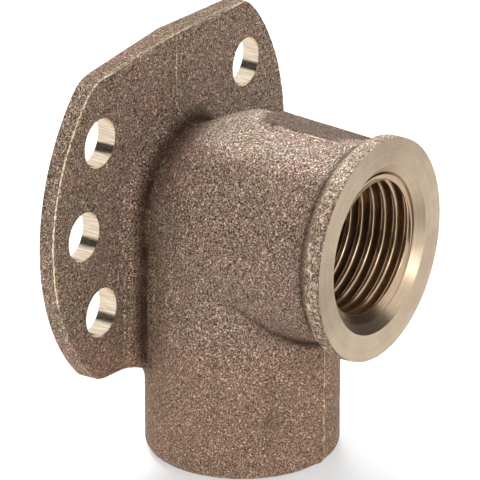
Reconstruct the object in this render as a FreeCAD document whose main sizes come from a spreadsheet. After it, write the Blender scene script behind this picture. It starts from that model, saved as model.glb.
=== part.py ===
"""Wall plate elbow: a one-piece bronze casting.

A round wall disc with two flats carries an elbow. The outlet points away from the
wall and takes a male pipe thread; the plain socket points down and takes a 22 mm pipe.
The disc has six screw holes on one circle. The casting is moulded in two halves that
meet in the plane X = 0, so the disc thins from that plane outwards.

Frame: the origin is where the outlet axis meets the wall, +Y goes into the wall,
-Y is the outlet, -Z the socket, +Z is up. Sizes are in millimetres and degrees.
"""
import FreeCAD, Part
import math
import os
import Sketcher
from FreeCAD import Vector

NODE = "wall_plate_elbow"

SIZES = [
    # wall disc
    ("plate_thickness", 3.25, "disc thickness at the mould joint"),
    ("mould_draft", 2.0, "fall of the front and bottom of the disc in each mould half, degrees"),
    ("top_draft", 3.6, "fall of the top flat in each mould half, degrees"),
    ("disc_radius", 28.6, "outer radius of the wall disc"),
    ("disc_lift", 1.5, "disc centre above the outlet axis"),
    ("top_distance", 22.8, "disc centre to the top flat at the mould joint"),
    ("foot_distance", 22.4, "disc centre to the bottom flat at the mould joint"),
    ("corner_radius", 5.5, "rounding between the flats and the round sides"),
    ("edge_round", 0.4, "cast rounding of the disc's front edge"),
    # screw holes
    ("screw_diameter", 6.9, "screw clearance hole"),
    ("screw_circle", 21.7, "radius of the circle through the hole centres"),
    ("screw_lift", 2.0, "centre of that circle above the outlet axis"),
    ("screw_spread", 34.3, "angle from the middle hole to its neighbours, degrees"),
    # outlet
    ("outlet_reach", 35.45, "collar face in front of the wall"),
    ("outlet_radius", 14.0, "outlet barrel"),
    ("bulb_setback", 0.45, "rounded rear end of the outlet barrel in front of the wall"),
    ("collar_step", 1.35, "collar standing proud of the outlet barrel"),
    ("collar_width", 2.2, "length of the collar's rim"),
    ("neck_slope", 1.3, "length of the slope between rim and barrel"),
    ("neck_round", 1.4, "hollow between slope and barrel"),
    ("rim_round", 0.5, "rear rounding of the rim"),
    ("mouth_radius", 11.7, "outer edge of the entry chamfer"),
    ("mouth_depth", 1.15, "depth of the entry chamfer"),
    ("thread_diameter", 20.955, "major diameter of the 1/2 inch parallel pipe thread"),
    ("thread_depth", 15.0, "threaded length from the collar face"),
    # socket
    ("socket_axis", 13.6, "socket axis in front of the wall"),
    ("socket_radius", 13.3, "outside of the socket barrel"),
    ("socket_drop", 33.45, "socket end below the outlet axis"),
    ("socket_round", 1.5, "outer rounding of the socket end"),
    ("pipe_bore", 22.1, "socket bore for the 22 mm pipe"),
    ("pipe_depth", 15.4, "insertion depth up to the pipe stop"),
    ("entry_break", 0.4, "broken inner edge of the socket mouth"),
    # waterway
    ("waterway_radius", 9.2, "cored passage behind the thread"),
    ("stop_radius", 9.0, "cored passage above the pipe stop"),
    # blends
    ("hollow_round", 2.8, "cast hollow along the barrels' crease and round the elbow's root"),
]

doc = FreeCAD.newDocument("WallPlateElbow")
sheet = doc.addObject("Spreadsheet::Sheet", "Sizes")
for row, (alias, value, note) in enumerate(SIZES, start=1):
    sheet.set("A%d" % row, alias)
    sheet.set("B%d" % row, str(value))
    sheet.set("C%d" % row, note)
    sheet.setAlias("B%d" % row, alias)
doc.recompute()


def size(alias):
    """Current value of one driving size."""
    return float(getattr(sheet, alias))


body = doc.addObject("PartDesign::Body", "Body")
body.Label = NODE
PLANES = {f.Role: f for f in body.Origin.OriginFeatures}
Y_AXIS = Vector(0, 1, 0)
Z_AXIS = Vector(0, 0, 1)
ORIGIN = -1
HORIZONTAL = -1
VERTICAL = -2
START = 1
END = 2
CENTRE = 3


def new_sketch(name, plane):
    sk = body.newObject("Sketcher::SketchObject", name)
    sk.AttachmentSupport = [(PLANES[plane], "")]
    sk.MapMode = "FlatFace"
    return sk


def rule(sk, constraint, expression):
    """Adds a constraint that a size drives."""
    index = sk.addConstraint(constraint)
    sk.setExpression("Constraints[%d]" % index, expression)


def place(sk, geo, point, x, x_rule, y, y_rule):
    """Ties one point to the sketch origin; None keeps it on that axis."""
    if x_rule is None:
        sk.addConstraint(Sketcher.Constraint("PointOnObject", geo, point, VERTICAL))
    else:
        rule(sk, Sketcher.Constraint("DistanceX", ORIGIN, START, geo, point, x), x_rule)
    if y_rule is None:
        sk.addConstraint(Sketcher.Constraint("PointOnObject", geo, point, HORIZONTAL))
    else:
        rule(sk, Sketcher.Constraint("DistanceY", ORIGIN, START, geo, point, y), y_rule)


def polygon(sk, corners):
    """Closed polygon of corners (x, its rule, y, its rule)."""
    first = sk.GeometryCount
    count = len(corners)
    for i in range(count):
        a = corners[i]
        b = corners[(i + 1) % count]
        sk.addGeometry(Part.LineSegment(Vector(a[0], a[2], 0), Vector(b[0], b[2], 0)), False)
    for i in range(count):
        following = first + (i + 1) % count
        sk.addConstraint(Sketcher.Constraint("Coincident", first + i, END, following, START))
    for i in range(count):
        place(sk, first + i, START, *corners[i])


def circle(sk, radius, radius_rule, x, x_rule, y, y_rule):
    geo = sk.addGeometry(Part.Circle(Vector(x, y, 0), Z_AXIS, radius), False)
    rule(sk, Sketcher.Constraint("Radius", geo, radius), radius_rule)
    place(sk, geo, CENTRE, x, x_rule, y, y_rule)


def feature(kind, name, sketch):
    f = body.newObject("PartDesign::" + kind, name)
    f.Profile = sketch
    return f


def is_cylinder(face, axis, radius):
    s = face.Surface
    if not isinstance(s, Part.Cylinder):
        return False
    return abs(abs(s.Axis.dot(axis)) - 1) < 1e-6 and abs(s.Radius - radius) < 1e-4


def shared_edges(test_a, test_b):
    """Edges of the body between a face of one kind and a face of another."""
    shape = body.Tip.Shape
    side_a = [e for f in shape.Faces if test_a(f) for e in f.Edges]
    side_b = [e for f in shape.Faces if test_b(f) for e in f.Edges]
    names = []
    for i, edge in enumerate(shape.Edges, start=1):
        on_a = any(edge.isSame(e) for e in side_a)
        on_b = any(edge.isSame(e) for e in side_b)
        if on_a and on_b:
            names.append("Edge%d" % i)
    return names


def blend(name, edges, radius_rule):
    """Rounds the named edges of the body."""
    if not edges:
        raise RuntimeError(name + ": no edge found")
    base = body.Tip
    f = body.newObject("PartDesign::Fillet", name)
    f.Base = (base, edges)
    f.setExpression("Radius", radius_rule)
    doc.recompute()
    if f.Shape.isNull() or not f.Shape.isValid():
        raise RuntimeError(name + ": the blend failed")


# Wall disc: a round plate from the wall outwards.
disc_sketch = new_sketch("DiscSketch", "XZ_Plane")
circle(disc_sketch, size("disc_radius"), "Sizes.disc_radius", 0, None, size("disc_lift"), "Sizes.disc_lift")
disc = feature("Pad", "Disc", disc_sketch)
disc.setExpression("Length", "Sizes.plate_thickness")
doc.recompute()

# One mould half: the flats fall away from the mould joint by the draft, and all beyond the joint goes.
wide = 2 * size("disc_radius")
fall = wide * math.tan(math.radians(size("mould_draft")))
top_fall = wide * math.tan(math.radians(size("top_draft")))
top = size("disc_lift") + size("top_distance")
low = size("disc_lift") - size("foot_distance")
WIDE = "2 * Sizes.disc_radius"
FALL = "2 * Sizes.disc_radius * tan(Sizes.mould_draft * 1deg)"
TOP_FALL = "2 * Sizes.disc_radius * tan(Sizes.top_draft * 1deg)"
TOP = "Sizes.disc_lift + Sizes.top_distance"
LOW = "Sizes.disc_lift - Sizes.foot_distance"
flats_sketch = new_sketch("FlatsSketch", "XZ_Plane")
polygon(flats_sketch, [
    (0, None, top, TOP),
    (-wide, "-" + WIDE, top - top_fall, TOP + " - " + TOP_FALL),
    (-wide, "-" + WIDE, top + wide, TOP + " + " + WIDE),
    (wide, WIDE, top + wide, TOP + " + " + WIDE),
    (wide, WIDE, low - wide, LOW + " - " + WIDE),
    (-wide, "-" + WIDE, low - wide, LOW + " - " + WIDE),
    (-wide, "-" + WIDE, low + fall, LOW + " + " + FALL),
    (0, None, low, LOW),
])
flats = feature("Pocket", "Flats", flats_sketch)
flats.Type = "ThroughAll"
flats.Midplane = True
doc.recompute()

# Front of the half: thinner towards the side by the same draft.
thick = size("plate_thickness")
THICK = "Sizes.plate_thickness"
draft_sketch = new_sketch("DraftSketch", "XY_Plane")
polygon(draft_sketch, [
    (0, None, -thick, "-" + THICK),
    (-wide, "-" + WIDE, fall - thick, FALL + " - " + THICK),
    (-wide, "-" + WIDE, -thick - wide, "-" + THICK + " - " + WIDE),
    (0, None, -thick - wide, "-" + THICK + " - " + WIDE),
])
draft = feature("Pocket", "FrontDraft", draft_sketch)
draft.Type = "ThroughAll"
draft.Midplane = True
doc.recompute()


def is_flat(face):
    """Top or bottom flat of the disc."""
    s = face.Surface
    if not isinstance(s, Part.Plane) or abs(s.Axis.z) < 0.9:
        return False
    return face.CenterOfMass.y > -size("plate_thickness")


def is_side(face):
    return is_cylinder(face, Y_AXIS, size("disc_radius"))


def is_corner(face):
    return is_cylinder(face, Y_AXIS, size("corner_radius"))


def is_rim(face):
    """Any face round the outside of the disc."""
    return is_flat(face) or is_side(face) or is_corner(face)


def is_front(face):
    """One of the two drafted front faces of the disc."""
    s = face.Surface
    if not isinstance(s, Part.Plane) or abs(s.Axis.y) < 0.9:
        return False
    return -size("plate_thickness") < face.CenterOfMass.y < -0.1 * size("plate_thickness")


blend("Corners", shared_edges(is_flat, is_side), "Sizes.corner_radius")
blend("FrontEdge", shared_edges(is_front, is_rim), "Sizes.edge_round")

# The other mould half.
halves = body.newObject("PartDesign::Mirrored", "BothHalves")
halves.TransformMode = "Whole shape"
halves.MirrorPlane = (PLANES["YZ_Plane"], [""])
body.Tip = halves
doc.recompute()

# Outlet barrel: a turned profile with a rounded rear end, up to the middle of the collar.
out_r = size("outlet_radius")
back = size("bulb_setback")
face_y = size("outlet_reach")
inside_y = face_y - size("collar_width") / 2
INSIDE = "Sizes.outlet_reach - Sizes.collar_width / 2"
outlet_sketch = new_sketch("OutletSketch", "YZ_Plane")
centre = Vector(-back - out_r, 0, 0)
bulb_circle = Part.Circle(centre, Z_AXIS, out_r)
bulb = outlet_sketch.addGeometry(Part.ArcOfCircle(bulb_circle, 0, math.pi / 2), False)
profile = [
    Vector(-back - out_r, out_r, 0),
    Vector(-inside_y, out_r, 0),
    Vector(-inside_y, 0, 0),
    Vector(-back, 0, 0),
]
lines = [outlet_sketch.addGeometry(Part.LineSegment(a, b), False) for a, b in zip(profile, profile[1:])]
barrel, stop, axis = lines
chain = [bulb] + lines
for first, second in zip(chain, lines):
    outlet_sketch.addConstraint(Sketcher.Constraint("Coincident", first, END, second, START))
outlet_sketch.addConstraint([
    Sketcher.Constraint("Coincident", axis, END, bulb, START),
    Sketcher.Constraint("PointOnObject", bulb, CENTRE, HORIZONTAL),
    Sketcher.Constraint("Vertical", bulb, CENTRE, bulb, END),
    Sketcher.Constraint("Horizontal", barrel),
    Sketcher.Constraint("Vertical", stop),
])
rule(outlet_sketch, Sketcher.Constraint("Radius", bulb, out_r), "Sizes.outlet_radius")
place(outlet_sketch, bulb, START, -back, "-Sizes.bulb_setback", 0, None)
place(outlet_sketch, axis, START, -inside_y, "-(" + INSIDE + ")", 0, None)
outlet = feature("Revolution", "Outlet", outlet_sketch)
outlet.ReferenceAxis = (outlet_sketch, ["H_Axis"])
outlet.Angle = 360
doc.recompute()

# Socket barrel: straight down from the outlet.
socket_sketch = new_sketch("SocketSketch", "XY_Plane")
circle(socket_sketch, size("socket_radius"), "Sizes.socket_radius", 0, None,
       -size("socket_axis"), "-Sizes.socket_axis")
socket = feature("Pad", "Socket", socket_sketch)
socket.setExpression("Length", "Sizes.socket_drop")
socket.Reversed = True
doc.recompute()


def is_outlet(face):
    """Barrel of the outlet or its rounded rear end."""
    return isinstance(face.Surface, Part.Sphere) or is_cylinder(face, Y_AXIS, size("outlet_radius"))


def is_neck(face):
    return isinstance(face.Surface, Part.Cone)


def is_collar(face):
    return is_cylinder(face, Y_AXIS, size("outlet_radius") + size("collar_step"))


def is_socket(face):
    return is_cylinder(face, Z_AXIS, size("socket_radius"))


def is_socket_end(face):
    s = face.Surface
    return isinstance(s, Part.Plane) and abs(face.CenterOfMass.z + size("socket_drop")) < 1e-4


def is_elbow(face):
    """Anything on the disc's front that belongs to the elbow and its blends."""
    return not isinstance(face.Surface, Part.Plane) and not is_side(face) and not is_corner(face)


# Cast hollow along the crease of the two barrels and all round the elbow's root.
blend("Hollow", shared_edges(is_outlet, is_socket) + shared_edges(is_front, is_elbow), "Sizes.hollow_round")
blend("SocketEnd", shared_edges(is_socket, is_socket_end), "Sizes.socket_round")

# Collar: a hollow neck that leaves the barrel smoothly, a slope, then the rim.
rim_y = face_y - size("collar_width")
corner_y = rim_y - size("neck_slope")
col_r = out_r + size("collar_step")
neck_r = size("neck_round")
lean = math.atan2(size("collar_step"), size("neck_slope"))
neck_y = corner_y - neck_r * math.tan(lean / 2)
RIM = "Sizes.outlet_reach - Sizes.collar_width"
collar_sketch = new_sketch("CollarSketch", "YZ_Plane")
leave = Vector(-neck_y, out_r, 0)
centre = Vector(-neck_y, out_r + neck_r, 0)
meet = centre + Vector(-neck_r * math.sin(lean), -neck_r * math.cos(lean), 0)
crest = Vector(-rim_y, col_r, 0)
root = collar_sketch.addGeometry(Part.LineSegment(Vector(-neck_y, 0, 0), leave), False)
neck = collar_sketch.addGeometry(
    Part.ArcOfCircle(Part.Circle(centre, Z_AXIS, neck_r), 1.5 * math.pi - lean, 1.5 * math.pi), False)
slope = collar_sketch.addGeometry(Part.LineSegment(meet, crest), False)
rim = collar_sketch.addGeometry(Part.LineSegment(crest, Vector(-face_y, col_r, 0)), False)
face = collar_sketch.addGeometry(Part.LineSegment(Vector(-face_y, col_r, 0), Vector(-face_y, 0, 0)), False)
axis = collar_sketch.addGeometry(Part.LineSegment(Vector(-face_y, 0, 0), Vector(-neck_y, 0, 0)), False)
guide = collar_sketch.addGeometry(Part.LineSegment(Vector(-corner_y, out_r, 0), crest), True)
collar_sketch.addConstraint([
    Sketcher.Constraint("Coincident", root, END, neck, END),
    Sketcher.Constraint("Tangent", neck, START, slope, START),
    Sketcher.Constraint("Coincident", slope, END, rim, START),
    Sketcher.Constraint("Coincident", rim, END, face, START),
    Sketcher.Constraint("Coincident", face, END, axis, START),
    Sketcher.Constraint("Coincident", axis, END, root, START),
    Sketcher.Constraint("Coincident", guide, END, rim, START),
    Sketcher.Constraint("PointOnObject", slope, START, guide),
    Sketcher.Constraint("PointOnObject", root, START, HORIZONTAL),
    Sketcher.Constraint("Vertical", root),
    Sketcher.Constraint("Vertical", neck, CENTRE, neck, END),
    Sketcher.Constraint("Horizontal", rim),
    Sketcher.Constraint("Vertical", face),
])
rule(collar_sketch, Sketcher.Constraint("Radius", neck, neck_r), "Sizes.neck_round")
rule(collar_sketch, Sketcher.Constraint("DistanceY", ORIGIN, START, root, END, out_r),
     "Sizes.outlet_radius")
place(collar_sketch, rim, START, -rim_y, "-(" + RIM + ")",
      col_r, "Sizes.outlet_radius + Sizes.collar_step")
place(collar_sketch, guide, START, -corner_y, "-(" + RIM + " - Sizes.neck_slope)",
      out_r, "Sizes.outlet_radius")
place(collar_sketch, axis, START, -face_y, "-Sizes.outlet_reach", 0, None)
collar = feature("Revolution", "Collar", collar_sketch)
collar.ReferenceAxis = (collar_sketch, ["H_Axis"])
collar.Angle = 360
doc.recompute()
blend("RimBack", shared_edges(is_neck, is_collar), "Sizes.rim_round")

# Outlet bore: entry chamfer, thread length, then the cored waterway with a rounded end.
thread_r = size("thread_diameter") / 2
water_r = size("waterway_radius")
mouth_r = size("mouth_radius")
chamfer_y = face_y - size("mouth_depth")
thread_y = face_y - size("thread_depth")
axis_y = size("socket_axis")
bore_sketch = new_sketch("BoreSketch", "YZ_Plane")
profile = [
    Vector(-face_y, 0, 0),
    Vector(-face_y, mouth_r, 0),
    Vector(-chamfer_y, thread_r, 0),
    Vector(-thread_y, thread_r, 0),
    Vector(-thread_y, water_r, 0),
    Vector(-axis_y, water_r, 0),
]
lines = [bore_sketch.addGeometry(Part.LineSegment(a, b), False) for a, b in zip(profile, profile[1:])]
mouth, chamfer, thread, shoulder, passage = lines
centre = Vector(-axis_y, 0, 0)
dome_circle = Part.Circle(centre, Z_AXIS, water_r)
dome = bore_sketch.addGeometry(Part.ArcOfCircle(dome_circle, 0, math.pi / 2), False)
axis = bore_sketch.addGeometry(Part.LineSegment(Vector(-axis_y + water_r, 0, 0), profile[0]), False)
for first, second in zip(lines, lines[1:]):
    bore_sketch.addConstraint(Sketcher.Constraint("Coincident", first, END, second, START))
bore_sketch.addConstraint([
    Sketcher.Constraint("Coincident", passage, END, dome, END),
    Sketcher.Constraint("Coincident", dome, START, axis, START),
    Sketcher.Constraint("Coincident", axis, END, mouth, START),
    Sketcher.Constraint("PointOnObject", dome, START, HORIZONTAL),
    Sketcher.Constraint("Vertical", dome, CENTRE, dome, END),
    Sketcher.Constraint("Vertical", mouth),
    Sketcher.Constraint("Horizontal", thread),
    Sketcher.Constraint("Vertical", shoulder),
    Sketcher.Constraint("Horizontal", passage),
])
place(bore_sketch, mouth, START, -face_y, "-Sizes.outlet_reach", 0, None)
place(bore_sketch, dome, CENTRE, -axis_y, "-Sizes.socket_axis", 0, None)
rule(bore_sketch, Sketcher.Constraint("Radius", dome, water_r), "Sizes.waterway_radius")
rule(bore_sketch, Sketcher.Constraint("DistanceY", mouth, START, mouth, END, mouth_r), "Sizes.mouth_radius")
rule(bore_sketch, Sketcher.Constraint("DistanceX", mouth, END, chamfer, END, face_y - chamfer_y),
     "Sizes.mouth_depth")
rule(bore_sketch, Sketcher.Constraint("DistanceY", mouth, START, thread, START, thread_r),
     "Sizes.thread_diameter / 2")
rule(bore_sketch, Sketcher.Constraint("DistanceX", mouth, END, thread, END, face_y - thread_y),
     "Sizes.thread_depth")
bore = feature("Groove", "OutletBore", bore_sketch)
bore.ReferenceAxis = (bore_sketch, ["H_Axis"])
bore.Angle = 360
doc.recompute()

# Socket bore: pipe seat up to the stop, then the cored passage up to the outlet axis.
pipe_r = size("pipe_bore") / 2
stop_r = size("stop_radius")
drop = size("socket_drop")
stop_z = drop - size("pipe_depth")
breaks = size("entry_break")
END_Z = "-Sizes.socket_drop"
BREAK_Z = "Sizes.entry_break - Sizes.socket_drop"
STOP_Z = "Sizes.pipe_depth - Sizes.socket_drop"
AXIS_Y = "-Sizes.socket_axis"
seat_sketch = new_sketch("SeatSketch", "YZ_Plane")
polygon(seat_sketch, [
    (-axis_y, AXIS_Y, 0, None),
    (-axis_y, AXIS_Y, -drop, END_Z),
    (pipe_r + breaks - axis_y, "Sizes.pipe_bore / 2 + Sizes.entry_break - Sizes.socket_axis", -drop, END_Z),
    (pipe_r - axis_y, "Sizes.pipe_bore / 2 - Sizes.socket_axis", breaks - drop, BREAK_Z),
    (pipe_r - axis_y, "Sizes.pipe_bore / 2 - Sizes.socket_axis", -stop_z, STOP_Z),
    (stop_r - axis_y, "Sizes.stop_radius - Sizes.socket_axis", -stop_z, STOP_Z),
    (stop_r - axis_y, "Sizes.stop_radius - Sizes.socket_axis", 0, None),
])
spin = seat_sketch.addGeometry(Part.LineSegment(Vector(-axis_y, -drop, 0), Vector(-axis_y, 0, 0)), True)
place(seat_sketch, spin, START, -axis_y, AXIS_Y, -drop, END_Z)
place(seat_sketch, spin, END, -axis_y, AXIS_Y, 0, None)
seat = feature("Groove", "SocketBore", seat_sketch)
seat.ReferenceAxis = (seat_sketch, ["Axis0"])
seat.Angle = 360
doc.recompute()

# Screw holes: three on one side, mirrored to the other.
screw_r = size("screw_diameter") / 2
ring = size("screw_circle")
spread = math.radians(size("screw_spread"))
lift = size("screw_lift")
SCREW = "Sizes.screw_diameter / 2"
ASIDE = "-Sizes.screw_circle * cos(Sizes.screw_spread * 1deg)"
APART = "Sizes.screw_circle * sin(Sizes.screw_spread * 1deg)"
screw_sketch = new_sketch("ScrewSketch", "XZ_Plane")
circle(screw_sketch, screw_r, SCREW, -ring * math.cos(spread), ASIDE,
       lift + ring * math.sin(spread), "Sizes.screw_lift + " + APART)
circle(screw_sketch, screw_r, SCREW, -ring, "-Sizes.screw_circle", lift, "Sizes.screw_lift")
circle(screw_sketch, screw_r, SCREW, -ring * math.cos(spread), ASIDE,
       lift - ring * math.sin(spread), "Sizes.screw_lift - " + APART)
screws = feature("Pocket", "ScrewHoles", screw_sketch)
screws.Type = "ThroughAll"
screws.Midplane = True
doc.recompute()
mirrored = body.newObject("PartDesign::Mirrored", "OtherScrewHoles")
mirrored.Originals = [screws]
mirrored.MirrorPlane = (PLANES["YZ_Plane"], [""])
body.Tip = mirrored
doc.recompute()

# Every object has to be sound before anything is written.
failed = [o.Name for o in doc.Objects if "Invalid" in o.State or "Error" in o.State]
if failed:
    raise RuntimeError("failed objects: " + ", ".join(failed))
shape = body.Shape
if shape.isNull() or not shape.isValid() or len(shape.Solids) != 1:
    raise RuntimeError(NODE + " is not one valid solid")
os.makedirs("parts", exist_ok=True)
shape.exportStep("parts/%s.step" % NODE)
print(NODE, "volume", round(shape.Volume, 1), "mm3", shape.BoundBox)
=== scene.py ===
import math

import bmesh
import bpy
from mathutils import Matrix, Vector, noise


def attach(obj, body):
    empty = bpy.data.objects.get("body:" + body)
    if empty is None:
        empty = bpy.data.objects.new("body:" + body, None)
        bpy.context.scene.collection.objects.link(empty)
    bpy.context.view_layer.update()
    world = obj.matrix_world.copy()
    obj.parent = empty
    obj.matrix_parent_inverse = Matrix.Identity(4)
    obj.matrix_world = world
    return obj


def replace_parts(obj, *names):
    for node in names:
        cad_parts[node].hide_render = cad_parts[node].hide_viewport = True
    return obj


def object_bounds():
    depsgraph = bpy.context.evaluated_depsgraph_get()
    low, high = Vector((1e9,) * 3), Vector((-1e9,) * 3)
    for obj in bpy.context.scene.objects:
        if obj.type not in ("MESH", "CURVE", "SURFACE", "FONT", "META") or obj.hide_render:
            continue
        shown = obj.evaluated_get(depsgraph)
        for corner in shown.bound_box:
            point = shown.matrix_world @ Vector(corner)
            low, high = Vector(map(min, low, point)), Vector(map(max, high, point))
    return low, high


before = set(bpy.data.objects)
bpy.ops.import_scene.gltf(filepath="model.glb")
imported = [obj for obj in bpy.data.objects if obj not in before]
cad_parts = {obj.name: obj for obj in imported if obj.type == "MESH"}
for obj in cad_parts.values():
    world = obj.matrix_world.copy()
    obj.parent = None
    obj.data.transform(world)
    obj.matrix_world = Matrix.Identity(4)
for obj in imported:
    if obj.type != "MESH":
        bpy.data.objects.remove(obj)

MM = 0.001
NODE = "wall_plate_elbow"
BODY = "root"
cad_low, cad_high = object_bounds()

# Sizes of the casting, in millimetres, in the frame of the part.
FACE_Y = -35.45
PLATE_T = 3.25
PLATE_FOOT = 2.7
FOOT_Z = -23.0
OUTLET_R = 14.0
BULB_Y = -14.45
COLLAR_Y = -31.0
NECK_Y = -31.75
COLLAR_RIM_Y = -33.0
SOCKET_Y = -13.6
SOCKET_R = 13.3
SOCKET_END = -33.45
STOP_Z = -18.05
THREAD_R = 10.4775
THREAD_CREST_R = 9.3155
THREAD_PITCH = 1.814
THREAD_END = -20.45
MOUTH_R = 11.7
MOUTH_DEPTH = 1.15
SCREW_R = 3.45
SCREWS = [(17.926, 14.228), (21.7, 2.0), (17.926, -10.228)]

# Limits that tell moulded, cored and tooled surfaces apart.
TOUCH = 0.02
SCREW_SLACK = 0.05
PLATE_SLACK = 0.1
BACK_SLACK = 0.001
SOCKET_BORE_LIMIT = 11.6
CORE_LIMIT = 9.4
CORE_BACK_Y = -4.0
CORE_LOW_Z = -9.3
STOP_LIMIT = 9.2

# Longest facet edges on the cast skin, and where the short ones are.
BACK_EDGE = 3.0
JOINT_EDGE = 0.3
GATE_EDGE = 0.45
SKIN_EDGE = 0.95
BACK_Y = -0.05
JOINT_REACH = 0.45
GATE_REACH = 1.5
GATE_EDGE_Y = -6.0
MAX_HALVINGS = 9

# Marks of the mould: the joint of its two halves, the ground stub of the gate beside it, a swelling
# behind the stub, a pit in it drawn only as a dark spot, and the unevenness of sand as (height, waves a
# metre).
JOINT_X = -0.35
JOINT_HEIGHT = 0.2
JOINT_WIDTH = 0.22
JOINT_CLEAR = 0.1
GATE_WIDTH = 4.8
GATE_LOW_Z = 11.0
GATE_LAST_Y = -11.0
GATE_BACK_Y = -17.0
GATE_FRONT_Y = -30.0
GATE_NEAR_Z = 14.0
GATE_NEAR_SLOPE = 0.040
GATE_FAR_Z = 13.6
GATE_FAR_SLOPE = 0.0615
GATE_SIDE_SLOPE = 1.4
GATE_BACK_SLOPE = 0.5
GATE_SOFT = 0.12
GATE_SMOOTHED = 0.7
SWELLING = Vector((6.0, -13.2, 12.6))
SWELLING_HEIGHT = 0.75
SWELLING_WIDTH = 3.2
PIT = Vector((0.2, -18.6, 14.2))
PIT_R = 0.9
SAND = [(0.030, 900), (0.020, 1900), (0.05, 170)]
BACK_KEPT_Y = -0.3

# Where shade is painted into the hollow, the crease and the neck, with some grime, and where the skin
# is rubbed bare.
HOLLOW_HEIGHT = 4.6
HOLLOW_REACH = 5.0
HOLLOW_DARKEST = 0.82
HOLLOW_FADE = 2.0
FOOT_FADE = 4.0
CREASE_TOP_Z = -4.0
CREASE_FADE = 4.0
CREASE_END = 1.5
CREASE_DEPTH = 0.45
CREASE_SHADE = 0.95
NECK_SHADE = 0.85
NECK_FADE = 1.5
RIM_WEAR = 0.55
JOINT_WEAR = 0.7
EDGE_SLACK = 0.2
EDGE_R = 19.0
EDGE_SIDE_X = 17.5
EDGE_TILT = 0.6
EDGE_SPREAD = 0.5
EDGE_LOW_Z = -20.0
EDGE_FADE = 16.0
EDGE_LEAST = 0.6

CAST, MACHINED, CORED, DRILLED, TAPPED = 0, 1, 2, 3, 4
SHARP = math.radians(36)


def clamp(value, low=0.0, high=1.0):
    return min(max(value, low), high)


def smooth(t):
    return t * t * (3 - 2 * t)


# Materials

class Graph:
    """A material's node tree, built call by call."""

    def __init__(self, name):
        self.material = bpy.data.materials.new(name)
        self.material.use_nodes = True
        self.tree = self.material.node_tree
        self.tree.nodes.clear()
        self.column = 0

    def add(self, kind, settings=None, inputs=None):
        """A new node with its settings, and values or links for its inputs."""
        node = self.tree.nodes.new("ShaderNode" + kind)
        self.column += 1
        node.location = (200 * self.column, 0)
        for key, value in (settings or {}).items():
            setattr(node, key, value)
        for key, value in (inputs or {}).items():
            self.feed(node.inputs[key], value)
        return node

    def feed(self, socket, value):
        if isinstance(value, bpy.types.NodeSocket):
            self.tree.links.new(value, socket)
        else:
            socket.default_value = value

    def math(self, operation, a, b=0.0):
        node = self.add("Math", {"operation": operation}, {0: a, 1: b})
        return node.outputs[0]

    def span(self, value, low, high, to_low=0.0, to_high=1.0):
        """Clamped smooth step of a value from one span to another."""
        node = self.add("MapRange", {"interpolation_type": "SMOOTHSTEP"}, {
            "Value": value, "From Min": low, "From Max": high, "To Min": to_low, "To Max": to_high})
        return node.outputs["Result"]

    def mix(self, factor, a, b, blend="MIX"):
        """Two colours mixed; inputs 6 and 7 and output 2 are the node's colour sockets."""
        node = self.add("Mix", {"data_type": "RGBA", "blend_type": blend})
        self.feed(node.inputs[0], factor)
        self.feed(node.inputs[6], a)
        self.feed(node.inputs[7], b)
        return node.outputs[2]

    def ramp(self, factor, stops):
        node = self.add("ValToRGB", None, {"Fac": factor})
        elements = node.color_ramp.elements
        while len(elements) < len(stops):
            elements.new(0.5)
        for element, (position, colour) in zip(elements, stops):
            element.position = position
            element.color = (*colour, 1.0)
        return node.outputs["Color"]

    def noise(self, vector, scale, detail=2.0, roughness=0.5):
        node = self.add("TexNoise", None, {
            "Vector": vector, "Scale": scale, "Detail": detail, "Roughness": roughness})
        return node.outputs["Fac"]

    def stretched(self, vector, scale):
        """Coordinates in which a texture is drawn out by a scale along each axis."""
        node = self.add("Mapping", {"vector_type": "TEXTURE"}, {"Vector": vector, "Scale": scale})
        return node.outputs["Vector"]

    def layer(self, name):
        """A value noted on the mesh's vertices."""
        return self.add("Attribute", {"attribute_name": name}).outputs["Fac"]

    def finish(self, shader):
        out = self.add("OutputMaterial")
        self.tree.links.new(shader, out.inputs["Surface"])
        return self.material


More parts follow.
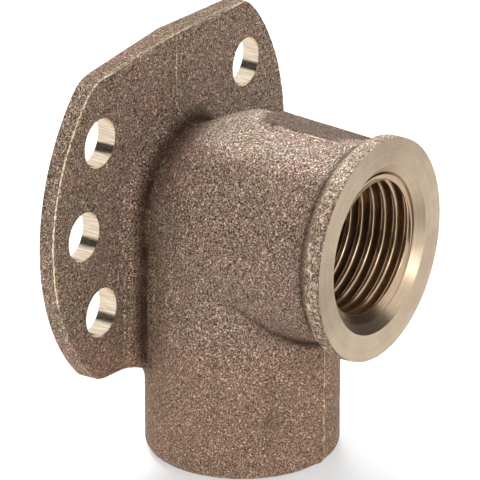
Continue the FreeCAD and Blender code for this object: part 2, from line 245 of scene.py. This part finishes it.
def cast_skin():
    """Sand-cast bronze: brown oxide with paler grain and painted glints, a painted highlight along the
    outlet's top, painted shade in hollows and creases, bare on rubbed edges, ground flat at the gate.
    """
    g = Graph("cast_bronze")
    place = g.add("TexCoord").outputs["Object"]
    fine = g.noise(place, 9200.0, 2.0, 0.6)
    grain = g.noise(place, 4600.0, 2.0, 0.6)
    height = g.math("ADD", g.math("MULTIPLY", fine, 0.45), g.math("MULTIPLY", grain, 0.55))
    sand = g.add("TexVoronoi", None, {"Vector": place, "Scale": 5400.0})
    chance = g.add("SeparateColor", None, {"Color": sand.outputs["Color"]})
    along = g.stretched(place, (1.0, 9.0, 1.0))
    strokes = g.noise(along, 4200.0, 2.0, 0.6)
    ground = g.layer("ground")
    grains = g.math("ADD", height, g.math("MULTIPLY", sand.outputs["Distance"], -0.14))
    smoothed = g.math("MULTIPLY", ground, 0.45)
    relief = g.add("Mix", {"data_type": "FLOAT"}, {0: smoothed, 2: grains, 3: strokes}).outputs[0]
    skin = g.ramp(height, [
        (0.43, (0.036, 0.021, 0.014)),
        (0.50, (0.203, 0.130, 0.093)),
        (0.57, (0.65, 0.478, 0.372)),
    ])
    pit = g.span(chance.outputs["Green"], 0.88, 0.96)
    skin = g.mix(g.math("MULTIPLY", pit, 0.55), skin, (0.028, 0.016, 0.010, 1))
    # Painted glints: sparse bright cream cells stand in for light caught by facets of the grain.
    painted_glint = g.span(chance.outputs["Red"], 0.925, 0.975)
    skin = g.mix(g.math("MULTIPLY", painted_glint, 0.85), skin, (0.97, 0.83, 0.64, 1))
    mottle = g.noise(place, 170.0, 3.0, 0.55)
    warmth = g.ramp(mottle, [(0.36, (0.92, 0.95, 0.89)), (0.64, (1.08, 1.01, 1.02))])
    skin = g.mix(1.0, skin, warmth, "MULTIPLY")
    axes = g.add("SeparateXYZ", None, {"Vector": place})
    lower = g.span(axes.outputs["Z"], -10 * MM, -20 * MM)
    skin = g.mix(g.math("MULTIPLY", lower, 0.3), skin, (0.215, 0.145, 0.104, 1))
    skin = g.mix(lower, skin, (1.17, 1.09, 1.05, 1), "MULTIPLY")
    # Painted highlight: the top of the outlet, back from the disc, is made much paler and whiter,
    # standing in for the overhead lamp's sheen.
    top = g.span(axes.outputs["Z"], 10.8 * MM, 13.2 * MM)
    painted_top_highlight = g.math("MULTIPLY", top, g.span(axes.outputs["Y"], -6 * MM, -12 * MM))
    skin = g.mix(painted_top_highlight, skin, (1.64, 1.74, 1.90, 1), "MULTIPLY")
    facet = g.ramp(strokes, [(0.35, (0.072, 0.049, 0.037)), (0.65, (0.175, 0.130, 0.102))])
    skin = g.mix(g.math("MULTIPLY", ground, 0.8), skin, facet)
    worn = g.math("MULTIPLY", g.layer("wear"), 0.78)
    ragged = g.math("ADD", worn, g.noise(place, 1300.0, 3.0, 0.75))
    rubbed = g.span(ragged, 0.90, 1.14, 0.0, 0.95)
    skin = g.mix(rubbed, skin, (1.0, 0.85, 0.60, 1))
    # Painted shade with some grime: the noted layer darkens the skin in patches towards near black.
    patchy = g.span(g.noise(place, 420.0, 3.0, 0.6), 0.32, 0.62, 0.80, 1.0)
    skin = g.mix(g.math("MULTIPLY", g.layer("shade_and_grime"), patchy), skin, (0.042, 0.019, 0.011, 1))
    rough = g.math("ADD", g.span(height, 0.38, 0.62, 0.56, 0.38), g.math("MULTIPLY", ground, 0.25))
    bump = g.add("Bump", None, {"Strength": 0.9, "Distance": 0.00032, "Height": relief})
    shader = g.add("BsdfPrincipled", None, {
        "Base Color": skin, "Roughness": rough, "Normal": bump.outputs["Normal"], "Metallic": 0.45,
        "Specular IOR Level": 0.3, "Specular Tint": (0.45, 0.36, 0.29, 1)})
    return g.finish(shader.outputs["BSDF"])


def machined():
    """Turned bronze: pale, with fine rings left by the tool."""
    g = Graph("machined_bronze")
    place = g.add("TexCoord").outputs["Object"]
    axes = g.add("SeparateXYZ", None, {"Vector": place})
    across = g.math("POWER", axes.outputs["X"], 2.0)
    upwards = g.math("POWER", axes.outputs["Z"], 2.0)
    radius = g.math("SQRT", g.math("ADD", across, upwards))
    turned = g.add("CombineXYZ", None, {"X": radius, "Y": axes.outputs["Y"]})
    rings = g.noise(turned.outputs["Vector"], 3000.0, 2.0, 0.6)
    stain = g.noise(place, 300.0, 4.0, 0.6)
    dust = g.noise(place, 3800.0, 2.0, 0.5)
    colour = g.ramp(stain, [
        (0.32, (0.610, 0.472, 0.336)),
        (0.62, (0.675, 0.532, 0.385)),
    ])
    colour = g.mix(g.span(rings, 0.35, 0.65, 0.22, 0.0), colour, (0.36, 0.265, 0.180, 1))
    colour = g.mix(g.span(dust, 0.58, 0.72, 0.0, 0.3), colour, (0.30, 0.215, 0.140, 1))
    rough = g.span(stain, 0.3, 0.7, 0.38, 0.31)
    bump = g.add("Bump", None, {"Strength": 0.2, "Distance": 0.00003, "Height": rings})
    around = g.add("Tangent", {"direction_type": "RADIAL", "axis": "Y"})
    shader = g.add("BsdfPrincipled", None, {
        "Base Color": colour, "Roughness": rough, "Normal": bump.outputs["Normal"], "Metallic": 1.0,
        "Anisotropic": 0.6, "Anisotropic Rotation": 0.25, "Tangent": around.outputs["Tangent"]})
    return g.finish(shader.outputs["BSDF"])


def cored_skin():
    """Inside of the waterway: dark, dull cast surface."""
    g = Graph("cored_bronze")
    place = g.add("TexCoord").outputs["Object"]
    grain = g.noise(place, 1900.0, 3.0, 0.6)
    colour = g.ramp(grain, [(0.35, (0.05, 0.034, 0.024)), (0.7, (0.16, 0.110, 0.075))])
    bump = g.add("Bump", None, {"Strength": 0.6, "Distance": 0.00015, "Height": grain})
    shader = g.add("BsdfPrincipled", None, {
        "Base Color": colour, "Normal": bump.outputs["Normal"], "Metallic": 0.6, "Roughness": 0.6})
    return g.finish(shader.outputs["BSDF"])


def drilled():
    """Wall of a screw hole: bright, streaked along the tool's way in."""
    g = Graph("drilled_bronze")
    place = g.add("TexCoord").outputs["Object"]
    streaks = g.noise(g.stretched(place, (1.0, 14.0, 1.0)), 4200.0, 2.0, 0.6)
    colour = g.ramp(streaks, [(0.36, (0.74, 0.600, 0.450)), (0.62, (0.90, 0.765, 0.590))])
    rough = g.span(streaks, 0.35, 0.65, 0.26, 0.15)
    bump = g.add("Bump", None, {"Strength": 0.25, "Distance": 0.00004, "Height": streaks})
    shader = g.add("BsdfPrincipled", None, {
        "Base Color": colour, "Roughness": rough, "Normal": bump.outputs["Normal"], "Metallic": 1.0})
    return g.finish(shader.outputs["BSDF"])


def tapped():
    """Thread: brown bronze, polished by the tap along its turns."""
    g = Graph("tapped_bronze")
    place = g.add("TexCoord").outputs["Object"]
    tears = g.noise(place, 300.0, 3.0, 0.6)
    colour = g.ramp(tears, [(0.32, (0.54, 0.385, 0.250)), (0.62, (0.62, 0.465, 0.320))])
    rough = g.span(tears, 0.3, 0.7, 0.25, 0.18)
    shader = g.add("BsdfPrincipled", None, {"Base Color": colour, "Roughness": rough, "Metallic": 1.0})
    return g.finish(shader.outputs["BSDF"])


MATERIALS = [cast_skin(), machined(), cored_skin(), drilled(), tapped()]


# Casting: the solid's own surface, rounded between its facets, with the marks of the mould.

def in_screw_hole(x, z):
    return any(math.hypot(abs(x) - sx, z - sz) < SCREW_R + SCREW_SLACK for sx, sz in SCREWS)


def kind_of(centre):
    """What made the surface at a point: the mould, a tool or the core."""
    x, y, z = centre / MM
    from_outlet = math.hypot(x, z)
    from_socket = math.hypot(x, y - SOCKET_Y)
    if -PLATE_T - PLATE_SLACK < y < -BACK_SLACK and in_screw_hole(x, z):
        return DRILLED
    if y < FACE_Y + TOUCH or (y < THREAD_END + TOUCH and from_outlet < MOUTH_R + TOUCH):
        return MACHINED
    if z < SOCKET_END + TOUCH or (z < STOP_Z + TOUCH and from_socket < SOCKET_BORE_LIMIT):
        return MACHINED
    if from_outlet < CORE_LIMIT and y < CORE_BACK_Y and z > CORE_LOW_Z:
        return CORED
    if from_socket < STOP_LIMIT and STOP_Z < z < 0:
        return CORED
    return CAST


def longest_edge(point):
    """How long a facet's edge may be on the cast skin at a point, in millimetres."""
    x, y, z = point / MM
    if y > BACK_Y:
        return BACK_EDGE
    if abs(x - JOINT_X) < JOINT_REACH:
        return JOINT_EDGE
    if 0 < x < GATE_WIDTH + GATE_REACH and z > GATE_LOW_Z and COLLAR_Y < y < GATE_EDGE_Y:
        return GATE_EDGE
    return SKIN_EDGE


def note_normals(bm):
    """Keeps each face corner's smooth normal with the corner."""
    outward = bm.loops.layers.float_vector.new("outward")
    mesh = bpy.data.meshes.new("normals")
    bm.to_mesh(mesh)
    normals = iter(mesh.corner_normals)
    for face in bm.faces:
        for loop in face.loops:
            loop[outward] = next(normals).vector
    bpy.data.meshes.remove(mesh)
    return outward


def halfway(loop, outward):
    """Middle of a face's edge, raised to the curve that the normals at its ends ask for."""
    after = loop.link_loop_next
    a, b = loop.vert.co, after.vert.co
    middle = (a + b) / 2
    if not loop.edge.smooth:
        return middle
    rise_a = (a - middle).dot(loop[outward]) * loop[outward]
    rise_b = (b - middle).dot(after[outward]) * after[outward]
    return middle + (rise_a + rise_b) / 4


def halve(edge, outward):
    """Splits an edge, keeping the surface round and its corners' normals."""
    place = halfway(edge.link_loops[0], outward)
    between = {}
    for loop in edge.link_loops:
        between[loop.face] = (loop[outward] + loop.link_loop_next[outward]).normalized()
    sharp = not edge.smooth
    half, middle = bmesh.utils.edge_split(edge, edge.verts[0], 0.5)
    half.smooth = not sharp
    middle.co = place
    for loop in middle.link_loops:
        loop[outward] = between[loop.face]


def refine(bm, outward):
    """Halves the long edges of cast faces until they are short enough."""
    for _ in range(MAX_HALVINGS):
        long_edges = []
        for edge in bm.edges:
            if any(f.material_index == CAST for f in edge.link_faces):
                a, b = edge.verts
                if edge.calc_length() > longest_edge((a.co + b.co) / 2) * MM:
                    long_edges.append(edge)
        if not long_edges:
            break
        for edge in long_edges:
            halve(edge, outward)
        bmesh.ops.triangulate(bm, faces=[f for f in bm.faces if len(f.verts) > 3])
    bm.normal_update()


def in_hollow(x, y, z):
    """Place across the hollow round the barrels: 0 at the disc, 1 at the barrel, None elsewhere."""
    over = -y - PLATE_FOOT
    beside = math.hypot(x, max(y - BULB_Y, 0.0), z) - OUTLET_R
    if z < 0:
        beside = min(beside, math.hypot(x, y - SOCKET_Y) - SOCKET_R)
    if not (0.0 < over < HOLLOW_HEIGHT and beside < HOLLOW_REACH):
        return None
    return over / (over + max(beside, 0.0))


def hollow_shade_and_grime(across, y, z):
    """Painted shade, with some grime, at a place across the hollow, darkest deep in it, less up the
    barrel and none below the disc's foot.
    """
    depth = max(0.0, 1 - abs(across - HOLLOW_DARKEST) / HOLLOW_DARKEST)
    up_barrel = min((HOLLOW_HEIGHT + PLATE_FOOT + y) / HOLLOW_FADE, 1.0)
    return smooth(depth) * up_barrel * clamp((z - FOOT_Z) / FOOT_FADE)


def crease_shade(x, y, z):
    """Painted shadow in the blend below the outlet, where its underside meets the socket."""
    if not (COLLAR_Y < y < SOCKET_Y and z < CREASE_TOP_Z):
        return 0.0
    clear = min(math.hypot(x, z) - OUTLET_R, math.hypot(x, y - SOCKET_Y) - SOCKET_R)
    ends = min((CREASE_TOP_Z - z) / CREASE_FADE, (y - COLLAR_Y) / CREASE_END, 1.0)
    return clamp(clear / CREASE_DEPTH) * ends * CREASE_SHADE


def edge_wear(tilt, z):
    """Wear on the disc's rounded front edge, from the Y of its normal, and less lower down."""
    rounded = max(0.0, 1 - abs(tilt + EDGE_TILT) / EDGE_SPREAD)
    return rounded * clamp((z - EDGE_LOW_Z) / EDGE_FADE, EDGE_LEAST)


def on_disc_edge(x, y, z):
    beside_foot = z > 0 or abs(x) > EDGE_SIDE_X
    return y > -PLATE_T - EDGE_SLACK and math.hypot(x, z) > EDGE_R and beside_foot


def gate_height(x, y):
    """Level of the ground gate stub, in millimetres."""
    ahead_of = y - GATE_FRONT_Y
    near = GATE_NEAR_Z + GATE_NEAR_SLOPE * ahead_of
    far = GATE_FAR_Z + GATE_FAR_SLOPE * ahead_of
    level = near + (far - near) * x / GATE_WIDTH
    past_side = max(x - GATE_WIDTH, 0.0)
    past_back = max(y - GATE_BACK_Y, 0.0)
    return level - GATE_SIDE_SLOPE * past_side - GATE_BACK_SLOPE * past_back


def bumps(point):
    """Unevenness of the sand mould, in millimetres, with a swelling behind the gate."""
    away = (point - SWELLING * MM).length_squared / (SWELLING_WIDTH * MM) ** 2
    rise = SWELLING_HEIGHT * math.exp(-away)
    for size, waves in SAND:
        rise += size * noise.noise(point * waves)
    return rise


def mould_marks(bm):
    """Moves the cast vertices to the mould's unevenness, joint and gate, and notes wear, and painted
    shade with some grime.
    """
    wear = bm.verts.layers.float.new("wear")
    shade_and_grime = bm.verts.layers.float.new("shade_and_grime")
    ground = bm.verts.layers.float.new("ground")
    moves = []
    for vert in bm.verts:
        if not all(f.material_index == CAST for f in vert.link_faces):
            continue
        x, y, z = vert.co / MM
        across = in_hollow(x, y, z)
        if across is not None:
            vert[shade_and_grime] = hollow_shade_and_grime(across, y, z)
        elif on_disc_edge(x, y, z):
            vert[wear] = edge_wear(vert.normal.y, z)
        elif y < COLLAR_RIM_Y:
            vert[wear] = RIM_WEAR
        elif y < COLLAR_Y:
            # Painted shade in the groove of the neck, darkest at its middle.
            vert[shade_and_grime] = max(0.0, NECK_SHADE - NECK_FADE * abs(y - NECK_Y))
        if y > BACK_KEPT_Y:
            continue
        # The pit in the gate stub is only a dark spot in the shade layer, with no dent.
        in_pit = 1 - (Vector((x, y, z)) - PIT).length / PIT_R
        vert[shade_and_grime] = max(vert[shade_and_grime], in_pit, crease_shade(x, y, z))
        ridge = math.exp(-((x - JOINT_X) / JOINT_WIDTH) ** 2)
        vert[wear] = max(vert[wear], JOINT_WEAR * ridge)
        rise = bumps(vert.co) + JOINT_HEIGHT * ridge * (0.7 + 0.6 * noise.noise(vert.co * 420))
        place = vert.co + vert.normal * rise * MM
        lift = gate_height(x, y) - z
        on_top = z > GATE_LOW_Z and COLLAR_Y < y < GATE_LAST_Y
        if x > JOINT_X + JOINT_CLEAR and on_top and lift > 0:
            vert[ground] = min(lift / GATE_SOFT, 1.0)
            place += Vector((0, 0, lift * MM)) - vert.normal * GATE_SMOOTHED * rise * vert[ground] * MM
        moves.append((vert, place))
    for vert, place in moves:
        vert.co = place
    for vert in bm.verts:
        vert.co = [clamp(v, lo, hi) for v, lo, hi in zip(vert.co, cad_low, cad_high)]
    bm.normal_update()


def show(name, mesh):
    """Puts a mesh on the part with the part's materials."""
    piece = bpy.data.objects.new(name, mesh)
    bpy.context.scene.collection.objects.link(piece)
    for material in MATERIALS:
        mesh.materials.append(material)
    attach(piece, BODY)
    return piece


def casting():
    """The whole casting, made from the node's own mesh."""
    bm = bmesh.new()
    bm.from_mesh(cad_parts[NODE].data)
    bmesh.ops.remove_doubles(bm, verts=bm.verts, dist=1e-7)
    for face in bm.faces:
        face.material_index = kind_of(face.calc_center_median())
        face.smooth = True
    bm.normal_update()
    for edge in bm.edges:
        edge.smooth = edge.calc_face_angle(0.0) < SHARP
    refine(bm, note_normals(bm))
    mould_marks(bm)
    mesh = bpy.data.meshes.new("casting")
    bm.to_mesh(mesh)
    bm.free()
    return show("casting", mesh)


# Thread: a right-hand helical ridge that starts at the entry chamfer and fades out at the inner end.

RIDGE_PHASE = 0.08
RIDGE_ROOT = 0.12
RIDGE_FLANK = 0.76
RIDGE_ROUND = 0.35
RUN_OUT_TURNS = 1.2
ROOT_CLEAR = 0.02


def thread_radius(angle, y):
    """Inner radius of the threaded wall, in millimetres."""
    phase = ((y - FACE_Y) / THREAD_PITCH - angle / (2 * math.pi) - RIDGE_PHASE) % 1.0
    flank = 1 - abs(2 * phase - 1)
    ridge = clamp((flank - RIDGE_ROOT) / RIDGE_FLANK)
    ridge = smooth(ridge) * RIDGE_ROUND + ridge * (1 - RIDGE_ROUND)
    run_out = clamp((THREAD_END - y) / (RUN_OUT_TURNS * THREAD_PITCH))
    root = THREAD_R - ROOT_CLEAR
    return root - (root - THREAD_CREST_R) * ridge * run_out


def thread():
    """The threaded wall as a closed tube, its outside sunk in the solid's bore."""
    around = 192
    rows = 180
    embed = 0.25
    start = FACE_Y + MOUTH_DEPTH - ROOT_CLEAR
    rings = [(row, False) for row in range(rows + 1)] + [(rows, True), (0, True)]
    verts, faces = [], []
    for row, outside in rings:
        y = start + (THREAD_END - start) * row / rows
        for i in range(around):
            angle = 2 * math.pi * i / around
            r = THREAD_R + embed if outside else thread_radius(angle, y)
            verts.append((r * math.sin(angle) * MM, y * MM, r * math.cos(angle) * MM))
    for ring in range(len(rings)):
        after = (ring + 1) % len(rings)
        for i in range(around):
            j = (i + 1) % around
            faces.append((ring * around + i, after * around + i, after * around + j, ring * around + j))
    mesh = bpy.data.meshes.new("thread")
    mesh.from_pydata(verts, [], faces)
    mesh.polygons.foreach_set("use_smooth", [True] * len(mesh.polygons))
    mesh.polygons.foreach_set("material_index", [TAPPED] * len(mesh.polygons))
    mesh.update()
    return show("thread", mesh)


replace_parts(casting(), NODE)
thread()


# Camera at the photograph's viewing angle: lengths in millimetres, focal length and frame in pixels.

AZIMUTH = math.radians(57.239)
ELEVATION = math.radians(22.648)
DISTANCE = 945.17
FOCAL = 7020.24
FRAME = 480.0
SCALE = FOCAL / DISTANCE
AIM = Vector((0.0, -18.0, 0.0))
AIM_U, AIM_V = 269.80, 222.909
SENSOR = 36.0
right = Vector((math.cos(AZIMUTH), -math.sin(AZIMUTH), 0.0))
ahead = Vector((math.sin(AZIMUTH) * math.cos(ELEVATION), math.cos(AZIMUTH) * math.cos(ELEVATION),
                -math.sin(ELEVATION)))
above = right.cross(ahead)
middle = AIM - right * (AIM_U - FRAME / 2) / SCALE + above * (AIM_V - FRAME / 2) / SCALE
spot = middle - ahead * DISTANCE
camera = bpy.data.objects.new("camera", bpy.data.cameras.new("camera"))
bpy.context.scene.collection.objects.link(camera)
axes = Matrix((right, above, -ahead)).transposed().to_4x4()
camera.matrix_world = Matrix.Translation(spot * MM) @ axes
camera.data.sensor_width = SENSOR
camera.data.lens = SENSOR * FOCAL / FRAME
camera.data.clip_start = 0.05
camera.data.clip_end = 50.0
bpy.context.scene.camera = camera


# Floor, dark flags for the metal to reflect, lamps and white surroundings.

def stage_piece(name, verts, faces, material):
    """A mesh of the studio, which isn't part of the object."""
    mesh = bpy.data.meshes.new(name)
    mesh.from_pydata(verts, [], faces)
    mesh.materials.append(material)
    piece = bpy.data.objects.new(name, mesh)
    bpy.context.scene.collection.objects.link(piece)
    return piece


def floor():
    """White floor: half lit and half glowing to the camera, so the shadow stays, and white to metal."""
    g = Graph("floor_white")
    path = g.add("LightPath")
    mirrored = g.math("MAXIMUM", path.outputs["Is Glossy Ray"], path.outputs["Is Transmission Ray"])
    seen = g.math("MAXIMUM", g.math("MULTIPLY", path.outputs["Is Camera Ray"], 0.5), mirrored)
    paint = g.add("BsdfDiffuse", None, {"Color": (0.85, 0.85, 0.85, 1)})
    glow = g.add("Emission", None, {"Color": (1, 1, 1, 1), "Strength": 1.0})
    blend = g.add("MixShader", None, {0: seen})
    g.tree.links.new(paint.outputs[0], blend.inputs[1])
    g.tree.links.new(glow.outputs[0], blend.inputs[2])
    size = 3.0
    level = (SOCKET_END - TOUCH) * MM
    corners = [(-size, -size, level), (size, -size, level), (size, size, level), (-size, size, level)]
    stage_piece("floor", corners, [(0, 1, 2, 3)], g.finish(blend.outputs[0]))


def flag(name, middle, width, low, high, distance):
    """A dark upright screen round part of the horizon, seen only in reflections; angles in degrees."""
    g = Graph(name)
    paint = g.add("BsdfDiffuse", None, {"Color": (0.02, 0.02, 0.02, 1)})
    steps = 24
    verts, faces = [], []
    for step in range(steps + 1):
        turn = math.radians(middle + width * (step / steps - 0.5))
        for rise in (low, high):
            verts.append((distance * math.sin(turn), -distance * math.cos(turn),
                          distance * math.tan(math.radians(rise))))
    for step in range(steps):
        faces.append((2 * step, 2 * step + 2, 2 * step + 3, 2 * step + 1))
    piece = stage_piece(name, verts, faces, g.finish(paint.outputs[0]))
    piece.visible_camera = False
    piece.visible_diffuse = False
    piece.visible_shadow = False


def lamp(name, direction, distance, size, power, mirrored=True):
    """A round soft lamp; one that isn't mirrored leaves no image of itself in polished metal."""
    data = bpy.data.lights.new(name, "AREA")
    data.shape = "DISK"
    data.size = size
    data.energy = power
    lamp_object = bpy.data.objects.new(name, data)
    bpy.context.scene.collection.objects.link(lamp_object)
    away = Vector(direction).normalized()
    lamp_object.location = away * distance
    lamp_object.rotation_mode = "QUATERNION"
    lamp_object.rotation_quaternion = (-away).to_track_quat("-Z", "Y")
    lamp_object.visible_glossy = mirrored


def surroundings():
    """White to the camera and in reflections, a softer grey as light."""
    world = bpy.data.worlds.new("studio")
    bpy.context.scene.world = world
    world.use_nodes = True
    tree = world.node_tree
    tree.nodes.clear()
    path = tree.nodes.new("ShaderNodeLightPath")
    back = tree.nodes.new("ShaderNodeBackground")
    out = tree.nodes.new("ShaderNodeOutputWorld")
    seen = tree.nodes.new("ShaderNodeMath")
    seen.operation = "MAXIMUM"
    either = tree.nodes.new("ShaderNodeMath")
    either.operation = "MAXIMUM"
    level = tree.nodes.new("ShaderNodeMapRange")
    level.inputs["To Min"].default_value = 0.45
    level.inputs["To Max"].default_value = 1.0
    tree.links.new(path.outputs["Is Camera Ray"], seen.inputs[0])
    tree.links.new(path.outputs["Is Glossy Ray"], seen.inputs[1])
    tree.links.new(seen.outputs[0], either.inputs[0])
    tree.links.new(path.outputs["Is Transmission Ray"], either.inputs[1])
    tree.links.new(either.outputs[0], level.inputs["Value"])
    tree.links.new(level.outputs[0], back.inputs["Strength"])
    tree.links.new(back.outputs[0], out.inputs[0])
    back.inputs["Color"].default_value = (1, 1, 1, 1)


floor()
flag("flag_wall", 137.5, 125.0, -6.0, 24.0, 0.30)
flag("flag_high", 225.0, 50.0, 17.0, 50.0, 0.30)
flag("flag_left", 292.5, 85.0, -6.0, 24.0, 0.30)
flag("flag_right", 60.0, 60.0, -9.0, 56.0, 0.165)
flag("flag_low", 7.0, 30.0, -22.4, -9.0, 0.08)
surroundings()
lamp("key", (-0.45, -0.85, 0.28), 0.6, 0.3, 0.8)
lamp("overhead", (0.4, 0.5, 0.76), 0.6, 0.4, 7.8, mirrored=False)
lamp("low_left", (-0.85, -0.5, 0.02), 0.6, 0.45, 2.1)
lamp("right", (0.8, -0.5, 0.45), 0.6, 0.5, 0.3)
bpy.context.scene.view_settings.view_transform = "Standard"
